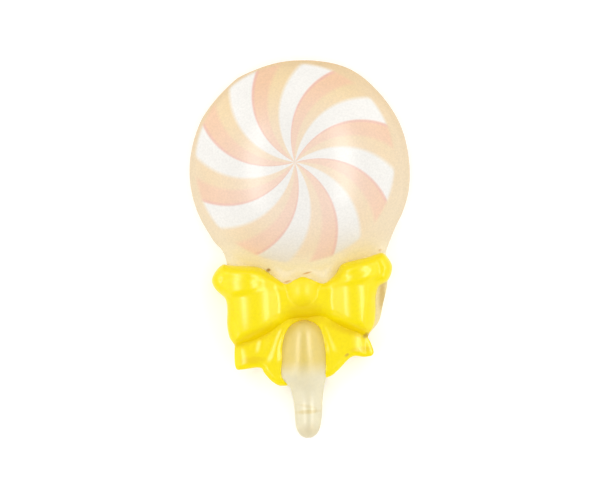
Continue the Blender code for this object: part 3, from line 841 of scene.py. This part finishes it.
def pinwheel(tree, place):
    """How far round its arm of the pinwheel each place is, from 0 to 1, and how far out."""
    way, radius = way_from(tree, place, PRINT_CENTRE)
    way = add(tree, "SeparateXYZ", (way,)).node.outputs
    angle = add(tree, "Math", (way["Y"], way["X"]), operation="ARCTAN2")
    degrees = add(tree, "Math", (angle,), operation="DEGREES")
    *terms, turn = PRINT_TURN
    for term in reversed(terms):
        turn = add(tree, "Math", (radius, turn, term), operation="MULTIPLY_ADD")
    sector = add(tree, "Math", (degrees, turn), operation="SUBTRACT")
    sector = add(tree, "Math", (sector, PRINT_ARM, 0.0), operation="WRAP")
    return add(tree, "Math", (sector, PRINT_ARM), operation="DIVIDE"), radius


def pinwheel_ink(tree, share, deeper, duller):
    """The white and the pink of the print, with a faint line where the pink ends. The inner colours
    are paler by a painted reflection of the light overhead.
    """
    starts, full, ends = INK_LINE
    inner, outer, low = (
        add(tree, "ValToRGB", (share,), stops=(
            (0.0, white), (WHITE_END + INK_MARGIN, white), (PINK_START - INK_MARGIN, pink),
            (starts, pink), (full, line), (ends, line), (1.0, white)))
        for white, pink, line in (
            ("#F7F4EE", "#F9DBC7", "#F5D1C3"), ("#F8F5EF", "#F5CCA8", "#F1C2AF"),
            ("#EFE6D8", "#F9D6BD", "#F4CAB6")))
    ink = add(tree, "Mix", {"Factor": deeper, "A": inner, "B": outer}, "Result", data_type="RGBA")
    return add(tree, "Mix", {"Factor": duller, "A": ink, "B": low}, "Result", data_type="RGBA")


def pinwheel_cover(tree, share, radius):
    """Where the print has ink: not on the cream stretch of each arm, nor past the print's edge."""
    inked = add(tree, "ValToRGB", (share,), stops=(
        (0.0, "#FFFFFF"), (WHITE_END - INK_EDGE, "#FFFFFF"), (WHITE_END + INK_EDGE, "#000000"),
        (PINK_START - INK_EDGE, "#000000"), (PINK_START + INK_EDGE, "#FFFFFF"), (1.0, "#FFFFFF")))
    ends = add(tree, "MapRange", (radius, PRINT_RADIUS - PRINT_FADE, PRINT_RADIUS, 1.0, 0.0),
               interpolation_type="SMOOTHSTEP")
    return add(tree, "Math", (inked, ends), operation="MULTIPLY")


def cream_resin():
    """Cast polyester resin, opaque, with a pinwheel printed under its clear surface. The eye gets
    soft-edged arms that end short of the rim, a fine grain, and stain marks that handling has left.
    Painted into its colour are the light overhead reflected on the dome's middle, shade towards the
    top, light on the neck, and shade with bounced yellow on the right ledge's wall."""
    made, tree, shader = new_material("printed_cream_resin")
    place = charm_place(tree)
    along = add(tree, "SeparateXYZ", (place,)).node.outputs
    up = along["Y"]
    _, from_middle = way_from(tree, place, (0.0, 0.0))
    # Deeper out from the middle and towards the top: the paler middle is a painted reflection of the light
    # overhead, the deeper top painted shade
    outwards = add(tree, "MapRange", (from_middle, *DEEPER_OUT), interpolation_type="SMOOTHSTEP")
    towards_top = add(tree, "MapRange", (up, *DEEPER_UP))
    deeper = add(tree, "Math", (outwards, towards_top), operation="ADD", use_clamp=True)
    duller = add(tree, "MapRange", (up, *DULLER_DOWN), interpolation_type="SMOOTHSTEP")

    share, radius = pinwheel(tree, place)
    # The bare cream, painted lighter down by the neck and darker towards the top as light and shade
    bare = add(tree, "ValToRGB", (add(tree, "MapRange", (up, *BARE_RANGE)),), stops=(
        (0.0, "#F9ECC6"), (0.13, "#FBEFD2"), (0.22, "#F4E1C1"), (0.6, "#F3DDBB"), (0.95, "#EACDA1")))
    # The cream between the arms, paler in the middle by the same painted reflection
    dome = add(tree, "Mix", {"Factor": deeper, "A": "#F8E3C9", "B": "#F4D9AA"}, "Result", data_type="RGBA")
    to_rim = add(tree, "MapRange", (radius, *DOME_TO_RIM), interpolation_type="SMOOTHSTEP")
    colour = add(tree, "Mix", {"Factor": to_rim, "A": dome, "B": bare}, "Result", data_type="RGBA")
    colour = add(tree, "Mix", {"Factor": pinwheel_cover(tree, share, radius), "A": colour,
                               "B": pinwheel_ink(tree, share, deeper, duller)}, "Result", data_type="RGBA")
    # A brown stain, specks and dark lines, and painted shade with bounced yellow on the right ledge's wall
    colour = stained_and_shaded(tree, place, colour, CREAM_STAINS_AND_SHADE)
    on_front = add(tree, "MapRange", (along["Z"], *PLAIN_BACK), interpolation_type="SMOOTHSTEP")
    colour = add(tree, "Mix", {"Factor": on_front, "A": bare, "B": colour}, "Result", data_type="RGBA")
    colour = clouded(tree, place, colour, cell=0.2, amount=0.04, middle=0.965)
    colour = clouded(tree, place, colour, cell=2.5, amount=0.01)
    roughness = add(tree, "MapRange", (up, *NECK_DULLNESS), interpolation_type="SMOOTHSTEP")
    tree.links.new(colour, shader.inputs["Base Color"])
    tree.links.new(roughness, shader.inputs["Roughness"])
    shader.inputs["Specular IOR Level"].default_value = 0.09
    rippled(tree, place, shader, cell=1.5, height=0.004)
    return made


def yellow_resin():
    """Opaque yellow resin with a satin shine. The eye gets broad soft-edged highlights on a deep
    yellow, slightly uneven as the mould left it, and duller on the knot. Shade is painted darker into
    the hollow under the knot, under the loops' hems and along the tails' lower edges."""
    made, tree, shader = new_material("satin_yellow_resin")
    place = charm_place(tree)
    colour = clouded(tree, place, linear("#FFE900")[:3], cell=0.25, amount=0.03, middle=0.985)
    # A brown stain, specks, and painted shade in the hollow under the knot, under the hems and along the
    # tails' lower edges
    colour = stained_and_shaded(tree, place, colour, YELLOW_STAINS_AND_SHADE)
    _, from_knot = way_from(tree, place, KNOT_PLACE)
    roughness = add(tree, "MapRange", (from_knot, *KNOT_DULLNESS), interpolation_type="SMOOTHSTEP")
    tree.links.new(colour, shader.inputs["Base Color"])
    tree.links.new(roughness, shader.inputs["Roughness"])
    shader.inputs["Specular IOR Level"].default_value = 0.155
    rippled(tree, place, shader, cell=1.0, height=0.008)
    return made


def milky_resin():
    """Cloudy resin that lets some light through. The eye gets the bow's yellow in its upper end,
    painted into its colour as the bow seen through it, and a pale milky lower end."""
    made, tree, shader = new_material("milky_resin")
    place = charm_place(tree)
    up = add(tree, "SeparateXYZ", (place,), "Y")
    down = add(tree, "MapRange", (up, *MILKY_DOWN), interpolation_type="SMOOTHSTEP")
    # The upper end painted yellow as the bow seen through it, the lower end milky
    colour = add(tree, "Mix", {"Factor": down, "A": "#EFD774", "B": "#F3EAC8"}, "Result", data_type="RGBA")
    colour = clouded(tree, place, colour, cell=0.3, amount=0.02)
    colour = stained_and_shaded(tree, place, colour, STICK_MARKS)
    tree.links.new(colour, shader.inputs["Base Color"])
    shader.inputs["Roughness"].default_value = 0.37
    shader.inputs["Specular IOR Level"].default_value = 0.22
    shader.inputs["Transmission Weight"].default_value = 0.15
    rippled(tree, place, shader, cell=0.7, height=0.006)
    return made


def pale_paper():
    """White paper with a brightener in it, which answers the light a little more strongly than it
    is lit. The eye gets an even white ground with only a faint contact shadow."""
    made, tree, shader = new_material("bright_white_paper")
    place = add(tree, "TexCoord", output="Object")
    fibres = add(tree, "TexNoise", {"Vector": place, "Scale": 1 / (PAPER_FIBRE * MM),
                                    "Detail": RAGGED_DETAIL})
    colour = add(tree, "Mix", {"Factor": fibres, "A": "#FFFFFF", "B": "#FBFBFB"}, "Result",
                 data_type="RGBA")
    tree.links.new(colour, shader.inputs["Base Color"])
    shader.inputs["Roughness"].default_value = 0.9
    shader.inputs["Specular IOR Level"].default_value = 0.2
    shader.inputs["Emission Color"].default_value = linear("#FFFFFF")
    shader.inputs["Emission Strength"].default_value = PAPER_GLOW
    return made


# The floor, the camera and the lights


def make_floor():
    bpy.ops.object.select_all(action="DESELECT")
    bpy.ops.mesh.primitive_plane_add(size=FLOOR_SIZE, location=(0.0, 0.0, 0.0))
    floor = bpy.context.object
    floor.name = "floor"
    floor.data.materials.append(pale_paper())


def make_camera():
    """Straight above the charm, turned so that the charm leans as it does in the photograph."""
    lean = math.radians(-PHOTO_LEAN)
    right = np.array([math.cos(lean), math.sin(lean)])
    up = np.array([-math.sin(lean), math.cos(lean)])
    across = (HEAD_PIXEL[0] - IMAGE_SIZE[0] / 2) * PIXEL
    above = (IMAGE_SIZE[1] / 2 - HEAD_PIXEL[1]) * PIXEL
    x, y = HEAD - across * right - above * up
    data = bpy.data.cameras.new("camera")
    data.sensor_width = SENSOR
    data.lens = SENSOR * (CAMERA_HEIGHT - SCALE_HEIGHT) / (IMAGE_SIZE[0] * PIXEL)
    data.clip_start = 0.01
    data.clip_end = 10.0
    camera = bpy.data.objects.new("camera", data)
    camera.location = (x * MM, y * MM, CAMERA_HEIGHT * MM)
    camera.rotation_euler = (0.0, 0.0, lean)
    bpy.context.scene.collection.objects.link(camera)
    bpy.context.scene.camera = camera


def make_light(name, direction, away, size, radiance):
    """A rectangular soft light that faces the charm."""
    data = bpy.data.lights.new(name, "AREA")
    data.shape = "RECTANGLE"
    data.size, data.size_y = (2 * away * math.tan(math.radians(angle / 2)) for angle in size)
    data.energy = radiance * math.pi * data.size * data.size_y
    light = bpy.data.objects.new(name, data)
    across, along = (math.tan(math.radians(angle)) for angle in direction)
    way = Vector((across, along, 1.0)).normalized()
    light.location = way * away
    side = Vector((0.0, 1.0, 0.0)).cross(way).normalized()
    light.rotation_euler = Matrix((side, way.cross(side), way)).transposed().to_euler()
    bpy.context.scene.collection.objects.link(light)
    return light


def make_studio():
    """A white tent that lights every side alike, a faint panel overhead, and the strips beside the
    camera and the pale walls that only show as the bright lines and edges on the gloss."""
    for name, (direction, away, size, radiance) in GLOSS_LIGHTS.items():
        make_light(name, direction, away, size, radiance).visible_diffuse = False
    make_light("overhead", *OVERHEAD).visible_glossy = False
    world = bpy.data.worlds.new("studio")
    world.use_nodes = True
    world.cycles_visibility.glossy = False
    background = world.node_tree.nodes["Background"]
    background.inputs["Color"].default_value = linear("#FFFFFF")
    background.inputs["Strength"].default_value = TENT_RADIANCE
    bpy.context.scene.world = world
    bpy.context.scene.view_settings.view_transform = "Standard"


bow_outline = make_bow()
make_body(bow_outline)
make_stick()
make_floor()
make_camera()
make_studio()
